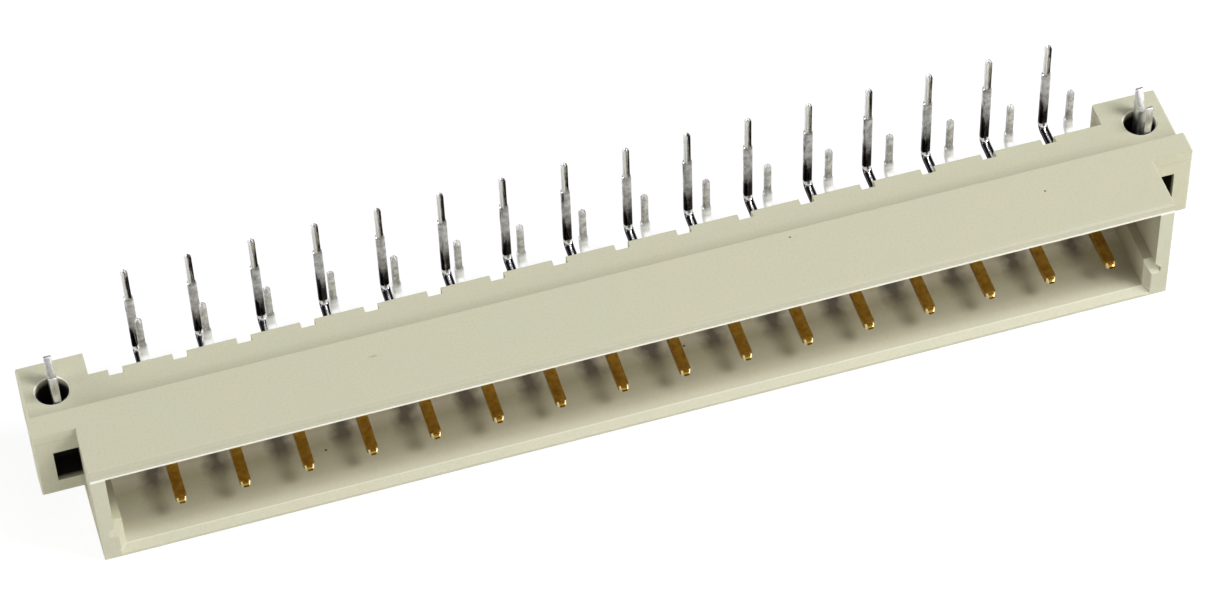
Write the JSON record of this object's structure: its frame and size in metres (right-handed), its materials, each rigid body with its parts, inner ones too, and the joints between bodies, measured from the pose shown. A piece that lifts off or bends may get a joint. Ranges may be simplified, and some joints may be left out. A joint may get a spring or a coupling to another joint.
{
  "type": "male multi-pin connector",
  "caption": "Right-angle male board connector: open moulded shroud with two rows of flat pins, bent solder tails and a split locking clip in each end flange.",
  "frame": {"origin": "on the board face of the housing, midway between the two fixing holes", "axes": "+X along the rows of contacts, to the right as seen from the mating side; -Y out of the mating face; +Z out of the board face, the way the solder tails point"},
  "size_m": [0.094, 0.0177, 0.0127],
  "materials": {
    "moulded_plastic": "fine satin moulded surface, pale grey-beige",
    "contact_metal": "gold-plated mating pins, bright tinned wire and tails",
    "clip_metal": "bright stamped sheet"
  },
  "bodies": {
    "root": {"housing": "moulded_plastic", "board_clip_left": "clip_metal", "board_clip_right": "clip_metal", "upper_contact_01": "contact_metal", "upper_contact_02": "contact_metal", "upper_contact_03": "contact_metal", "upper_contact_04": "contact_metal", "upper_contact_05": "contact_metal", "upper_contact_06": "contact_metal", "upper_contact_07": "contact_metal", "upper_contact_08": "contact_metal", "upper_contact_09": "contact_metal", "upper_contact_10": "contact_metal", "upper_contact_11": "contact_metal", "upper_contact_12": "contact_metal", "upper_contact_13": "contact_metal", "upper_contact_14": "contact_metal", "upper_contact_15": "contact_metal", "upper_contact_16": "contact_metal", "lower_contact_01": "contact_metal", "lower_contact_02": "contact_metal", "lower_contact_03": "contact_metal", "lower_contact_04": "contact_metal", "lower_contact_05": "contact_metal", "lower_contact_06": "contact_metal", "lower_contact_07": "contact_metal", "lower_contact_08": "contact_metal", "lower_contact_09": "contact_metal", "lower_contact_10": "contact_metal", "lower_contact_11": "contact_metal", "lower_contact_12": "contact_metal", "lower_contact_13": "contact_metal", "lower_contact_14": "contact_metal", "lower_contact_15": "contact_metal", "lower_contact_16": "contact_metal"}
  },
  "joints": []
}
